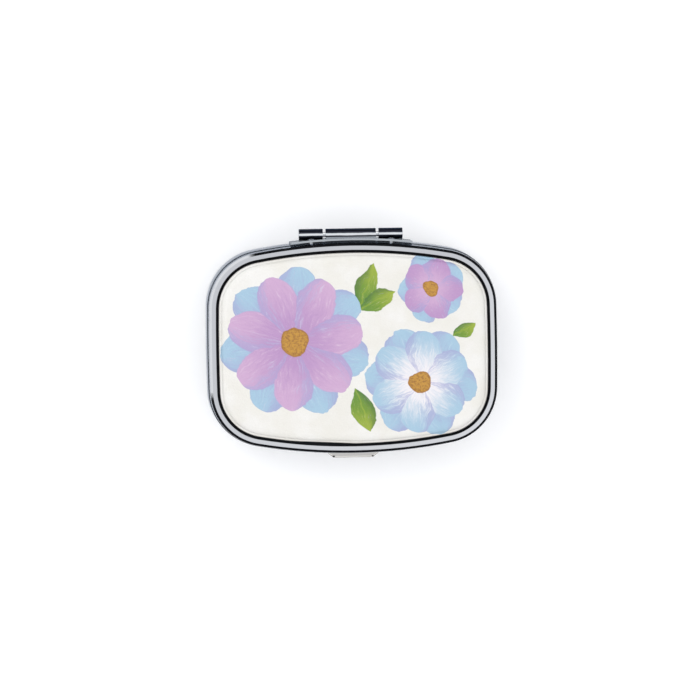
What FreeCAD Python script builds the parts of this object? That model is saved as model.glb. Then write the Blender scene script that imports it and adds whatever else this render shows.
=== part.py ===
import FreeCAD, Part
import Sketcher
import math
import os

# A hinged metal pill box with a cushion-shaped outline and a padded printed top.
# Millimetres.  +X is the length, +Y points to the hinge, +Z is up.  The origin is the
# centre of the flat face that the box rests on.

doc = FreeCAD.newDocument("pill_box")
sheet = doc.addObject("Spreadsheet::Sheet", "Sizes")

SIZES = [
    # outline: two long bows, two short bows and four corner arcs, all tangent
    ("half_long", 30.0, "half length at the widest outline"),
    ("half_wide", 22.0, "half width at the widest outline"),
    ("long_bow", 112.0, "radius of the long sides"),
    ("short_bow", 400.0, "radius of the short sides"),
    ("corner", 12.0, "corner radius of the widest outline"),
    # base
    ("case_wall", 0.6, "sheet thickness of base and lid"),
    ("base_height", 10.0, "parting height, top of the base"),
    ("belly_height", 5.8, "height of the widest outline"),
    ("belly_turn", 2.6, "inset of the flat underside from the widest outline"),
    ("rim_lean", 0.04, "inset of both shells at the parting line"),
    # lid shell
    ("parting_gap", 0.1, "gap between base and lid"),
    ("lid_wall_inset", 0.85, "inset of the lid's inner face"),
    ("step_low", 12.3, "lower edge of the step round the lid's side"),
    ("step_high", 12.445, "upper edge of the step"),
    ("step_low_inset", 0.18, "inset of the step's lower edge"),
    ("step_high_inset", 0.34, "inset of the step's upper edge"),
    ("bevel_low", 14.85, "lower edge of the bright bevel"),
    ("bevel_high", 15.25, "upper edge of the bright bevel"),
    ("ring_height", 15.4, "inner edge of the ring"),
    ("bevel_low_inset", 0.5, "inset of the bevel's lower edge"),
    ("bevel_high_inset", 1.02, "inset of the bevel's upper edge"),
    ("side_swell", 0.03, "how far the lid's side swells below the step"),
    ("ring_inset", 1.85, "inset of the ring's inner edge"),
    ("lid_floor", 13.3, "underside of the recessed lid floor"),
    # padded top
    ("glue", 0.1, "thickness of the glue sheet under the board"),
    ("glue_margin", 1.0, "how far the glue stays inside the board"),
    ("board", 0.8, "thickness of the board"),
    ("cover_inset", 2.25, "inset of the printed cover's edge"),
    ("cover_sheet", 0.45, "thickness of the printed cover"),
    ("cover_roll", 1.7, "radius of the cover's rolled edge"),
    ("crown", 16.75, "top of the padded cover"),
    ("ease", 0.04, "room between pieces laid on each other"),
    # mirror side of the lid
    ("mirror_tape", 0.15, "thickness of the tape behind the mirror"),
    ("mirror_glass", 1.0, "thickness of the mirror"),
    ("mirror_inset", 3.5, "inset of the mirror"),
    ("tape_margin", 1.2, "how far that tape stays inside the mirror"),
    ("frame_inset", 1.2, "outer inset of the mirror's frame"),
    ("frame_lip", 0.4, "thickness of the frame's lip"),
    ("frame_open", 4.4, "inset of the frame's opening"),
    # hinge
    ("hinge_back", 23.2, "Y of the hinge axis"),
    ("barrel", 1.15, "outer radius of the knuckles"),
    ("pin", 0.6, "radius of the hinge pin"),
    ("pin_room", 0.04, "running clearance in the lid's knuckle"),
    ("knuckle_mid", 5.15, "half length of the lid's knuckle"),
    ("knuckle_in", 5.75, "inner end of the base's knuckles"),
    ("knuckle_out", 10.65, "outer end of the base's knuckles"),
    ("leaf", 0.42, "sheet thickness of the leaves"),
    ("leaf_room", 0.02, "room between a leaf and the wall that it is riveted to"),
    ("leaf_half", 12.5, "half length of the leaves"),
    ("base_leaf_low", 5.3, "lower edge of the base's leaf"),
    ("base_leaf_high", 9.05, "upper edge of the base's leaf"),
    ("lid_leaf_low", 11.05, "lower edge of the lid's leaf"),
    ("lid_leaf_high", 13.35, "upper edge of the lid's leaf"),
    ("web", 0.4, "thickness of the web between leaf and knuckle"),
    ("web_root", 0.35, "how far a web starts inside the outline before it is trimmed"),
    ("pin_proud", 0.05, "how far the pin stands out of the outer knuckles"),
    # rivets
    ("rivet_shank", 0.5, "shank radius"),
    ("rivet_head", 0.95, "head radius"),
    ("rivet_dome", 0.15, "head height"),
    ("rivet_top", 0.5, "radius of a head's flat top"),
    ("rivet_room", 0.02, "room round a shank"),
    ("rivet_stand", 0.08, "room under a head"),
    ("shank_out", 0.2, "how far a shank reaches beyond the leaf"),
    ("shank_in", 0.15, "how far a shank reaches inside the wall"),
    ("peen", 0.2, "thickness of the flattened inner end"),
    ("peen_radius", 0.76, "radius of the flattened inner end"),
    ("peen_in", 0.27, "how far the flattened end reaches inside the wall"),
    ("rivet_place", 8.2, "X of the rivets"),
    ("base_rivet_height", 7.2, "Z of the base's rivets"),
    ("lid_rivet_height", 12.1, "Z of the lid's rivets"),
    # push button and latch
    ("button_root", 5.35, "half width of the button at the case"),
    ("button_tip", 4.1, "half width of the button at its face"),
    ("button_front", 23.0, "distance of the button's face from the middle"),
    ("button_low", 6.2, "underside of the button"),
    ("button_high", 9.3, "top of the button"),
    ("button_round", 0.3, "rounding of the face's upright and lower edges"),
    ("button_bevel", 0.36, "width of the bevel round the button's top"),
    ("bevel_drop", 0.3, "height of that bevel"),
    ("flange_step", 0.2, "how far the flange stays inside the button's height"),
    ("button_room", 0.12, "room round the button in its slot"),
    ("flange_half", 6.5, "half width of the button's flange"),
    ("flange_front", 20.95, "front of the flange"),
    ("flange_back", 20.4, "back of the flange"),
    ("latch_low", 8.0, "underside of the latch plate"),
    ("latch_high", 8.6, "top of the latch plate"),
    ("latch_half", 4.5, "half width of the latch plate"),
    ("latch_back", 16.2, "inner end of the latch plate"),
    ("window_half", 2.7, "half width of the latch plate's window"),
    ("window_front", 20.0, "front of the window"),
    ("window_back", 18.15, "edge of the window that holds the hook"),
    ("hook_half", 2.1, "half width of the hook"),
    ("hook_front", 18.9, "front face of the hook's tongue"),
    ("hook_sheet", 0.5, "sheet thickness of the hook"),
    ("hook_nose", 0.6, "reach of the hook's nose"),
    ("hook_low", 7.1, "lower end of the hook"),
    ("nose_high", 7.85, "top of the hook's nose"),
    ("nose_lip", 0.2, "upright part of the nose's tip"),
    ("foot_half", 3.6, "half width of the hook's foot"),
    ("foot_front", 20.9, "front of the hook's foot"),
    ("housing_half", 7.3, "half width of the latch housing"),
    ("housing_front", 20.2, "front of the latch housing"),
    ("housing_back", 13.9, "back of the latch housing"),
    ("housing_wall", 0.7, "back wall of the latch housing"),
    ("housing_high", 9.2, "top of the latch housing"),
    ("housing_foot", 2.4, "how far the housing's foot stays behind its front"),
    ("housing_waist", 1.2, "how far its middle stays behind its front"),
    ("waist_low", 3.6, "underside of its middle"),
    ("rail_room", 0.1, "room beside the latch plate"),
    ("nose_room", 0.5, "room beside the hook"),
    ("nose_slot", 2.4, "length of the slot behind the hook's face"),
    ("slot_floor", 6.7, "floor of the slot that the nose hangs in"),
    ("spring_sheet", 0.2, "thickness of the leaf spring"),
    ("spring_room", 0.05, "room above, below and at the ends of the leaf spring"),
    ("spring_short", 0.4, "how far the spring stays inside the latch plate's width"),
    # tray
    ("tray_inset", 1.3, "outer inset of the tray"),
    ("tray_wall", 0.8, "wall thickness of the tray"),
    ("tray_turn", 2.4, "outer radius along the tray's bottom edge"),
    ("tray_low", 0.9, "underside of the tray"),
    ("tray_high", 9.3, "top of the tray"),
    ("divider_half", 0.5, "half thickness of the tray's divider"),
    ("notch_half", 7.9, "half width of the tray's notch for the latch"),
    ("notch_back", 13.3, "back of the tray's notch"),
    ("tray_round", 2.0, "rounding of the compartments' upright edges"),
    ("tray_foot_round", 1.2, "rounding of the compartments' floor"),
    ("tray_bite", 0.3, "how far inner walls run into the tray's outer wall"),
    ("tape_half_long", 14.0, "half length of the tape under the tray"),
    ("tape_half_wide", 7.0, "half width of the tape under the tray"),
    ("tape_shift", 3.0, "how far the tape lies towards the hinge"),
]

for row, (alias, value, words) in enumerate(SIZES, start=1):
    sheet.set("A%d" % row, alias)
    sheet.set("B%d" % row, str(value))
    sheet.set("C%d" % row, words)
    sheet.setAlias("B%d" % row, alias)
doc.recompute()

FAR = "60"


def number(expression):
    """The present value of an expression of the sheet."""
    return float(sheet.evalExpression(expression))


def new_body(label):
    body = doc.addObject("PartDesign::Body", label)
    body.Label = label
    return body


def new_sketch(body, name, role, offset):
    """A sketch on one of the body's own origin planes, moved along the plane's normal."""
    sketch = body.newObject("Sketcher::SketchObject", body.Name + "_" + name)
    plane = [item for item in body.Origin.OriginFeatures if item.Role == role][0]
    sketch.AttachmentSupport = [(plane, "")]
    sketch.MapMode = "FlatFace"
    sketch.setExpression(".AttachmentOffset.Base.z", offset)
    return sketch


def bind(sketch, name, kind, targets, expression):
    """A named dimension of the sketch, driven by an expression."""
    index = sketch.addConstraint(Sketcher.Constraint(kind, *targets, number(expression)))
    sketch.renameConstraint(index, name)
    sketch.setExpression("Constraints." + name, expression)


def cushion(body, name, inset, height):
    """The cushion outline, moved in by inset: every arc keeps its centre."""
    sketch = new_sketch(body, name, "XY_Plane", height)
    long_radius = "Sizes.long_bow - (%s)" % inset
    short_radius = "Sizes.short_bow - (%s)" % inset
    corner_radius = "Sizes.corner - (%s)" % inset
    long_centre = "Sizes.long_bow - Sizes.half_wide"
    short_centre = "Sizes.short_bow - Sizes.half_long"
    bow_y = number(long_centre)
    bow_x = number(short_centre)
    # the corner's centre lies where two circles round the bows' centres cross
    to_long = number("Sizes.long_bow - Sizes.corner")
    to_short = number("Sizes.short_bow - Sizes.corner")
    span = math.hypot(bow_x, bow_y)
    along = (to_long ** 2 - to_short ** 2 + span ** 2) / (2 * span)
    aside = math.sqrt(to_long ** 2 - along ** 2)
    corner_x = (-bow_x * along + bow_y * aside) / span
    corner_y = -bow_y + (bow_y * along + bow_x * aside) / span
    lean_long = math.atan2(corner_x, bow_y + corner_y)
    lean_short = math.atan2(corner_y, bow_x + corner_x)
    half = math.pi / 2
    arcs = [
        (0, bow_y, number(long_radius), -half - lean_long, -half + lean_long),
        (corner_x, -corner_y, number(corner_radius), -half + lean_long, -lean_short),
        (-bow_x, 0, number(short_radius), -lean_short, lean_short),
        (corner_x, corner_y, number(corner_radius), lean_short, half - lean_long),
        (0, -bow_y, number(long_radius), half - lean_long, half + lean_long),
        (-corner_x, corner_y, number(corner_radius), half + lean_long, 2 * half - lean_short),
        (bow_x, 0, number(short_radius), 2 * half - lean_short, 2 * half + lean_short),
        (-corner_x, -corner_y, number(corner_radius), 2 * half + lean_short, 3 * half - lean_long),
    ]
    up = FreeCAD.Vector(0, 0, 1)
    for x, y, radius, start, end in arcs:
        circle = Part.Circle(FreeCAD.Vector(x, y, 0), up, radius)
        sketch.addGeometry(Part.ArcOfCircle(circle, start, end), False)
    for index in range(8):
        following = (index + 1) % 8
        sketch.addConstraint(Sketcher.Constraint("Tangent", index, 2, following, 1))
    for index in (0, 4):
        sketch.addConstraint(Sketcher.Constraint("PointOnObject", index, 3, -2))
    for index in (2, 6):
        sketch.addConstraint(Sketcher.Constraint("PointOnObject", index, 3, -1))
    for first, second in ((0, 4), (2, 6), (1, 3), (1, 5), (1, 7)):
        sketch.addConstraint(Sketcher.Constraint("Equal", first, second))
    bind(sketch, "LongRadius", "Radius", (0,), long_radius)
    bind(sketch, "ShortRadius", "Radius", (2,), short_radius)
    bind(sketch, "CornerRadius", "Radius", (1,), corner_radius)
    bind(sketch, "FrontCentre", "DistanceY", (-1, 1, 0, 3), long_centre)
    bind(sketch, "BackCentre", "DistanceY", (4, 3, -1, 1), long_centre)
    bind(sketch, "RightCentre", "DistanceX", (2, 3, -1, 1), short_centre)
    bind(sketch, "LeftCentre", "DistanceX", (-1, 1, 6, 3), short_centre)
    return sketch


def polygon(body, name, role, offset, corners):
    """A closed polygon whose corners are pairs of expressions."""
    sketch = new_sketch(body, name, role, offset)
    points = [FreeCAD.Vector(number(x), number(y), 0) for x, y in corners]
    count = len(points)
    for index in range(count):
        sketch.addGeometry(Part.LineSegment(points[index], points[(index + 1) % count]), False)
    for index in range(count):
        sketch.addConstraint(Sketcher.Constraint("Coincident", index, 2, (index + 1) % count, 1))
    for index, (x, y) in enumerate(corners):
        bind(sketch, "Across%d" % index, "DistanceX", (-1, 1, index, 1), x)
        bind(sketch, "Along%d" % index, "DistanceY", (-1, 1, index, 1), y)
    return sketch


def rectangle(body, name, role, offset, left, right, low, high):
    corners = [(left, low), (right, low), (right, high), (left, high)]
    return polygon(body, name, role, offset, corners)


def disc(body, name, role, offset, places, radius):
    """Circles of one radius at places, which are pairs of expressions."""
    sketch = new_sketch(body, name, role, offset)
    up = FreeCAD.Vector(0, 0, 1)
    for index, (x, y) in enumerate(places):
        centre = FreeCAD.Vector(number(x), number(y), 0)
        sketch.addGeometry(Part.Circle(centre, up, number(radius)), False)
        bind(sketch, "Radius%d" % index, "Radius", (index,), radius)
        bind(sketch, "Across%d" % index, "DistanceX", (-1, 1, index, 3), x)
        bind(sketch, "Along%d" % index, "DistanceY", (-1, 1, index, 3), y)
    return sketch


def pad(body, sketch, length, backwards=False):
    feature = body.newObject("PartDesign::Pad", sketch.Name + "_pad")
    feature.Profile = sketch
    feature.setExpression("Length", length)
    feature.Reversed = backwards
    sketch.Visibility = False
    doc.recompute()
    return feature


def pocket(body, sketch, length, backwards=False):
    """Cuts from the sketch against its plane's normal, or along it when backwards."""
    before = body.Shape.Volume
    feature = body.newObject("PartDesign::Pocket", sketch.Name + "_pocket")
    feature.Profile = sketch
    feature.setExpression("Length", length)
    feature.Reversed = backwards
    doc.recompute()
    if body.Shape.Volume > before - 1e-4:
        raise ValueError("%s cuts nothing" % feature.Name)
    return feature


def loft(body, name, rows, ruled=False, cut=False):
    """A loft through cushion outlines; rows are pairs of inset and height."""
    sketches = []
    for index, (inset, height) in enumerate(rows):
        sketches.append(cushion(body, "%s_%d" % (name, index), inset, height))
    kind = "PartDesign::SubtractiveLoft" if cut else "PartDesign::AdditiveLoft"
    feature = body.newObject(kind, body.Name + "_" + name)
    feature.Profile = sketches[0]
    feature.Sections = sketches[1:]
    feature.Ruled = ruled
    doc.recompute()
    return feature


def belly(thickness):
    """Insets and heights of the base's side, a quarter of an ellipse below the widest outline.

    With a thickness it gives the inner face of the same wall.
    """
    rows = []
    steps = 5
    for step in range(steps + 1):
        angle = 90.0 * step / steps
        inset = "{0} + (Sizes.belly_turn - {0}) * (1 - sin({1} deg))".format(thickness, angle)
        height = "{0} + (Sizes.belly_height - {0}) * (1 - cos({1} deg))".format(thickness, angle)
        rows.append((inset, height))
    return rows


def level_edges(body, height):
    """Names of the edges that lie at one height."""
    names = []
    for index, edge in enumerate(body.Shape.Edges, start=1):
        box = edge.BoundBox
        level = abs(box.ZMin - height) < 1e-3 and abs(box.ZMax - height) < 1e-3
        if level:
            names.append("Edge%d" % index)
    return names


def upright_edges(body, low, high, keep):
    """Names of the upright edges between two heights that keep(x, y) accepts."""
    names = []
    for index, edge in enumerate(body.Shape.Edges, start=1):
        box = edge.BoundBox
        upright = box.XLength < 1e-3 and box.YLength < 1e-3
        inside = box.ZMin > low - 1e-3 and box.ZMax < high + 1e-3
        if upright and inside and keep(box.Center.x, box.Center.y):
            names.append("Edge%d" % index)
    return names


def fillet(body, edges, radius):
    base = body.Tip
    feature = body.newObject("PartDesign::Fillet", body.Name + "_fillet")
    feature.Base = (base, edges)
    feature.setExpression("Radius", radius)
    doc.recompute()
    if not edges or feature.Shape.isNull():
        raise ValueError("%s rounds nothing" % feature.Name)
    return feature


def outline_edges(body, height, inset):
    """Names of the edges at one height that belong to the outline at one inset."""
    reach = number("Sizes.half_long") - inset
    depth = number("Sizes.half_wide") - inset
    names = []
    for name in level_edges(body, height):
        edge = body.Shape.getElement(name)
        box = edge.BoundBox
        beside = abs(max(box.XMax, -box.XMin) - reach) < 1e-3
        ahead = abs(max(box.YMax, -box.YMin) - depth) < 1e-3
        round_radius = getattr(edge.Curve, "Radius", 0.0)
        corner = abs(round_radius - (number("Sizes.corner") - inset)) < 1e-3
        bow = abs(round_radius - (number("Sizes.long_bow") - inset)) < 1e-3
        if beside or ahead or corner or bow:
            names.append(name)
    return names


# ---------------------------------------------------------------- base

def make_base_shell():
    body = new_body("base_shell")
    rim = ("Sizes.rim_lean", "Sizes.base_height")
    loft(body, "outside", belly("0") + [rim])
    inner_rim = ("Sizes.rim_lean + Sizes.case_wall", "Sizes.base_height")
    loft(body, "inside", belly("Sizes.case_wall") + [inner_rim], cut=True)
    slot = rectangle(body, "button_slot", "XZ_Plane", "0",
                     "-Sizes.button_root - Sizes.button_room",
                     "Sizes.button_root + Sizes.button_room",
                     "Sizes.button_low - Sizes.button_room",
                     "Sizes.button_high + Sizes.button_room")
    pocket(body, slot, FAR, backwards=True)
    holes = disc(body, "rivet_holes", "XZ_Plane", "0",
                 [("Sizes.rivet_place", "Sizes.base_rivet_height"),
                  ("-Sizes.rivet_place", "Sizes.base_rivet_height")],
                 "Sizes.rivet_shank")
    pocket(body, holes, FAR)
    return body


def leaf_sketch(body, name, low):
    """A strip that follows the back bow from one end of the leaf to the other."""
    sketch = new_sketch(body, name, "XY_Plane", low)
    inner = number("Sizes.long_bow + Sizes.leaf_room")
    outer = number("Sizes.long_bow + Sizes.leaf")
    centre = FreeCAD.Vector(0, -number("Sizes.long_bow - Sizes.half_wide"), 0)
    up = FreeCAD.Vector(0, 0, 1)
    half = number("Sizes.leaf_half")
    lean_inner = math.asin(half / inner)
    lean_outer = math.asin(half / outer)
    quarter = math.pi / 2
    arc_in = Part.ArcOfCircle(Part.Circle(centre, up, inner), quarter - lean_inner,
                              quarter + lean_inner)
    arc_out = Part.ArcOfCircle(Part.Circle(centre, up, outer), quarter - lean_outer,
                               quarter + lean_outer)
    sketch.addGeometry(arc_in, False)
    sketch.addGeometry(arc_out, False)
    ends = []
    for side in (1, -1):
        near = FreeCAD.Vector(side * half, centre.y + inner * math.cos(lean_inner), 0)
        away = FreeCAD.Vector(side * half, centre.y + outer * math.cos(lean_outer), 0)
        ends.append(sketch.addGeometry(Part.LineSegment(near, away), False))
    for line, arc_end in ((ends[0], 1), (ends[1], 2)):
        sketch.addConstraint(Sketcher.Constraint("Coincident", line, 1, 0, arc_end))
        sketch.addConstraint(Sketcher.Constraint("Coincident", line, 2, 1, arc_end))
        sketch.addConstraint(Sketcher.Constraint("Vertical", line))
    sketch.addConstraint(Sketcher.Constraint("PointOnObject", 0, 3, -2))
    sketch.addConstraint(Sketcher.Constraint("Coincident", 0, 3, 1, 3))
    bind(sketch, "Centre", "DistanceY", (0, 3, -1, 1), "Sizes.long_bow - Sizes.half_wide")
    bind(sketch, "Inner", "Radius", (0,), "Sizes.long_bow + Sizes.leaf_room")
    bind(sketch, "Outer", "Radius", (1,), "Sizes.long_bow + Sizes.leaf")
    bind(sketch, "Right", "DistanceX", (-1, 1, ends[0], 1), "Sizes.leaf_half")
    bind(sketch, "Left", "DistanceX", (ends[1], 1, -1, 1), "Sizes.leaf_half")
    return sketch


def knuckle(body, name, start, length, web_low):
    """One barrel of the hinge and the web that ties it to its leaf, along X from start."""
    axis = ("Sizes.hinge_back", "Sizes.base_height + Sizes.parting_gap / 2")
    barrel = disc(body, name + "_barrel", "YZ_Plane", start, [axis], "Sizes.barrel")
    pad(body, barrel, length)
    web = rectangle(body, name + "_web", "YZ_Plane", start,
                    "Sizes.half_wide - Sizes.web_root", "Sizes.hinge_back",
                    web_low, web_low + " + Sizes.web")
    pad(body, web, length)


def bore(body, name, start, length, radius):
    axis = ("Sizes.hinge_back", "Sizes.base_height + Sizes.parting_gap / 2")
    sketch = disc(body, name, "YZ_Plane", start, [axis], radius)
    pocket(body, sketch, length, backwards=True)


def trim_to_wall(body):
    """Cuts away what a web has inside the case's outer face."""
    sketch = new_sketch(body, "wall_trim", "XY_Plane", "0")
    centre = FreeCAD.Vector(0, -number("Sizes.long_bow - Sizes.half_wide"), 0)
    circle = Part.Circle(centre, FreeCAD.Vector(0, 0, 1), number("Sizes.long_bow"))
    sketch.addGeometry(circle, False)
    sketch.addConstraint(Sketcher.Constraint("PointOnObject", 0, 3, -2))
    bind(sketch, "Centre", "DistanceY", (0, 3, -1, 1), "Sizes.long_bow - Sizes.half_wide")
    bind(sketch, "Radius", "Radius", (0,), "Sizes.long_bow")
    pocket(body, sketch, FAR, backwards=True)


def make_base_hinge_leaf():
    body = new_body("base_hinge_leaf")
    strip = leaf_sketch(body, "strip", "Sizes.base_leaf_low")
    pad(body, strip, "Sizes.base_leaf_high - Sizes.base_leaf_low")
    length = "Sizes.knuckle_out - Sizes.knuckle_in"
    web_low = "Sizes.base_height + Sizes.parting_gap / 2 - Sizes.barrel"
    knuckle(body, "right", "Sizes.knuckle_in", length, web_low)
    knuckle(body, "left", "-Sizes.knuckle_out", length, web_low)
    trim_to_wall(body)
    bore(body, "bore", "-Sizes.knuckle_out", "2 * Sizes.knuckle_out", "Sizes.pin")
    holes = disc(body, "rivet_holes", "XZ_Plane", "0",
                 [("Sizes.rivet_place", "Sizes.base_rivet_height"),
                  ("-Sizes.rivet_place", "Sizes.base_rivet_height")],
                 "Sizes.rivet_shank")
    pocket(body, holes, FAR)
    return body


def make_lid_hinge_leaf():
    body = new_body("lid_hinge_leaf")
    strip = leaf_sketch(body, "strip", "Sizes.lid_leaf_low")
    pad(body, strip, "Sizes.lid_leaf_high - Sizes.lid_leaf_low")
    web_low = "Sizes.base_height + Sizes.parting_gap / 2 + Sizes.barrel - Sizes.web"
    knuckle(body, "middle", "-Sizes.knuckle_mid", "2 * Sizes.knuckle_mid", web_low)
    trim_to_wall(body)
    bore(body, "bore", "-Sizes.knuckle_mid", "2 * Sizes.knuckle_mid",
         "Sizes.pin + Sizes.pin_room")
    holes = disc(body, "rivet_holes", "XZ_Plane", "0",
                 [("Sizes.rivet_place", "Sizes.lid_rivet_height"),
                  ("-Sizes.rivet_place", "Sizes.lid_rivet_height")],
                 "Sizes.rivet_shank")
    pocket(body, holes, FAR)
    return body


def make_hinge_pin():
    body = new_body("hinge_pin")
    axis = ("Sizes.hinge_back", "Sizes.base_height + Sizes.parting_gap / 2")
    length = "2 * (Sizes.knuckle_out + Sizes.pin_proud)"
    rod = disc(body, "rod", "YZ_Plane", "-Sizes.knuckle_out - Sizes.pin_proud", [axis], "Sizes.pin")
    pad(body, rod, length)
    return body


def make_rivets(label, height, wall_inset):
    """Two rivets through a leaf and the back wall, each with a domed head outside."""
    rivets = []
    for side, word in ((1, "right"), (-1, "left")):
        body = doc.addObject("Part::Cylinder", label + "_shank_" + word)
        body.setExpression("Radius", "Sizes.rivet_shank - Sizes.rivet_room")
        body.setExpression("Height", wall_inset + " + Sizes.leaf + Sizes.shank_in + Sizes.shank_out")
        dome = doc.addObject("Part::Cone", label + "_head_" + word)
        dome.setExpression("Radius1", "Sizes.rivet_head")
        dome.setExpression("Radius2", "Sizes.rivet_top")
        dome.setExpression("Height", "Sizes.rivet_dome")
        peen = doc.addObject("Part::Cylinder", label + "_peen_" + word)
        peen.setExpression("Radius", "Sizes.peen_radius")
        peen.setExpression("Height", "Sizes.peen")
        drop = "Sizes.rivet_place ^ 2 / (2 * Sizes.long_bow)"
        outer = "Sizes.half_wide - %s + Sizes.leaf" % drop
        inner = "Sizes.half_wide - %s - %s" % (drop, wall_inset)
        for item, along in ((body, inner + " - Sizes.shank_in"), (dome, outer + " + Sizes.rivet_stand"),
                            (peen, inner + " - Sizes.peen_in")):
            item.Placement.Rotation = FreeCAD.Rotation(FreeCAD.Vector(1, 0, 0), -90)
            item.setExpression("Placement.Base.x", "%d * Sizes.rivet_place" % side)
            item.setExpression("Placement.Base.y", along)
            item.setExpression("Placement.Base.z", height)
        joined = doc.addObject("Part::MultiFuse", label + "_" + word)
        joined.Shapes = [body, dome, peen]
        rivets.append(joined)
    group = doc.addObject("Part::Compound", label)
    group.Label = label
    group.Links = rivets
    doc.recompute()
    return group


# ---------------------------------------------------------------- lid

def make_lid_shell():
    body = new_body("lid_shell")
    bottom = "Sizes.base_height + Sizes.parting_gap"
    loft(body, "lower_side", [("Sizes.rim_lean", bottom),
                              ("(Sizes.rim_lean + Sizes.step_low_inset) / 2 - Sizes.side_swell",
                               "(%s + Sizes.step_low) / 2" % bottom),
                              ("Sizes.step_low_inset", "Sizes.step_low")])
    loft(body, "step", [("Sizes.step_low_inset", "Sizes.step_low"),
                        ("Sizes.step_high_inset", "Sizes.step_high"),
                        ("Sizes.bevel_low_inset", "Sizes.bevel_low")], ruled=True)
    loft(body, "bevel", [("Sizes.bevel_low_inset", "Sizes.bevel_low"),
                         ("Sizes.bevel_high_inset", "Sizes.bevel_high"),
                         ("Sizes.ring_inset", "Sizes.ring_height")], ruled=True)
    inside = cushion(body, "inside", "Sizes.lid_wall_inset", bottom)
    pocket(body, inside, "Sizes.lid_floor - (%s)" % bottom, backwards=True)
    recess = cushion(body, "recess", "Sizes.ring_inset", "Sizes.crown")
    pocket(body, recess, "Sizes.crown - Sizes.lid_floor - Sizes.case_wall")
    holes = disc(body, "rivet_holes", "XZ_Plane", "0",
                 [("Sizes.rivet_place", "Sizes.lid_rivet_height"),
                  ("-Sizes.rivet_place", "Sizes.lid_rivet_height")],
                 "Sizes.rivet_shank")
    pocket(body, holes, FAR)
    return body


RECESS = "Sizes.lid_floor + Sizes.case_wall"
BOARD_LOW = RECESS + " + Sizes.glue"
BOARD_HIGH = BOARD_LOW + " + Sizes.board"
INNER_EDGE = "Sizes.cover_inset + Sizes.cover_sheet"


def make_sheet(label, inset, low, thickness):
    """A flat sheet with the cushion outline."""
    body = new_body(label)
    pad(body, cushion(body, "outline", inset, low), thickness)
    return body


def make_lid_pad():
    body = make_sheet("lid_pad", INNER_EDGE + " + Sizes.ease", BOARD_HIGH,
                      "Sizes.crown - Sizes.cover_sheet - Sizes.ease - (%s)" % BOARD_HIGH)
    top = number("Sizes.crown - Sizes.cover_sheet - Sizes.ease")
    edges = outline_edges(body, top, number(INNER_EDGE + " + Sizes.ease"))
    fillet(body, edges, "Sizes.cover_roll - Sizes.cover_sheet")
    return body


def make_printed_cover():
    body = new_body("printed_cover")
    low = RECESS + " + Sizes.ease"
    outside = cushion(body, "outside", "Sizes.cover_inset", low)
    pad(body, outside, "Sizes.crown - (%s)" % low)
    inside = cushion(body, "inside", INNER_EDGE, low)
    pocket(body, inside, "Sizes.crown - Sizes.cover_sheet - (%s)" % low, backwards=True)
    top = number("Sizes.crown - Sizes.cover_sheet")
    edges = outline_edges(body, top, number(INNER_EDGE))
    fillet(body, edges, "Sizes.cover_roll - Sizes.cover_sheet")
    edges = outline_edges(body, number("Sizes.crown"), number("Sizes.cover_inset"))
    fillet(body, edges, "Sizes.cover_roll")
    return body


MIRROR_LOW = "Sizes.lid_floor - Sizes.mirror_tape - Sizes.mirror_glass"
FRAME_LOW = MIRROR_LOW + " - Sizes.frame_lip"


def make_mirror_frame():
    body = new_body("mirror_frame")
    outside = cushion(body, "outside", "Sizes.frame_inset", FRAME_LOW)
    pad(body, outside, "Sizes.lid_floor - (%s)" % FRAME_LOW)
    bed = cushion(body, "bed", "Sizes.mirror_inset - Sizes.ease", "Sizes.lid_floor")
    pocket(body, bed, "Sizes.mirror_glass + Sizes.mirror_tape")
    opening = cushion(body, "opening", "Sizes.frame_open", FRAME_LOW)
    pocket(body, opening, FAR, backwards=True)
    return body


def make_lid_hook():
    """A foot under the mirror's frame and a springy tongue that ends in a nose."""
    body = new_body("lid_hook")
    back = "-Sizes.hook_front + Sizes.hook_sheet"
    corners = [
        ("-Sizes.foot_front", FRAME_LOW),
        ("-Sizes.foot_front", FRAME_LOW + " - Sizes.hook_sheet"),
        ("-Sizes.hook_front", FRAME_LOW + " - Sizes.hook_sheet"),
        ("-Sizes.hook_front", "Sizes.hook_low"),
        (back, "Sizes.hook_low"),
        (back + " + Sizes.hook_nose", "Sizes.nose_high - Sizes.nose_lip"),
        (back + " + Sizes.hook_nose", "Sizes.nose_high"),
        (back, "Sizes.nose_high"),
        (back, FRAME_LOW),
    ]
    profile = polygon(body, "profile", "YZ_Plane", "-Sizes.hook_half", corners)
    pad(body, profile, "2 * Sizes.hook_half")
    foot = rectangle(body, "foot", "XY_Plane", FRAME_LOW + " - Sizes.hook_sheet",
                     "-Sizes.foot_half", "Sizes.foot_half",
                     "-Sizes.foot_front", "-Sizes.hook_front")
    pad(body, foot, "Sizes.hook_sheet")
    return body


# ---------------------------------------------------------------- latch

def button_outline(body, name, margin, height):
    """The button seen from above, with its face and sides moved in by margin."""
    root = "(Sizes.button_root - %s)" % margin
    tip = "(Sizes.button_tip - %s)" % margin
    front = "-(Sizes.button_front - %s)" % margin
    corners = [
        ("-" + root, "-Sizes.flange_front"),
        ("-" + root, "-Sizes.half_wide"),
        ("-" + tip, front),
        (tip, front),
        (root, "-Sizes.half_wide"),
        (root, "-Sizes.flange_front"),
    ]
    return polygon(body, name, "XY_Plane", height, corners)


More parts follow.
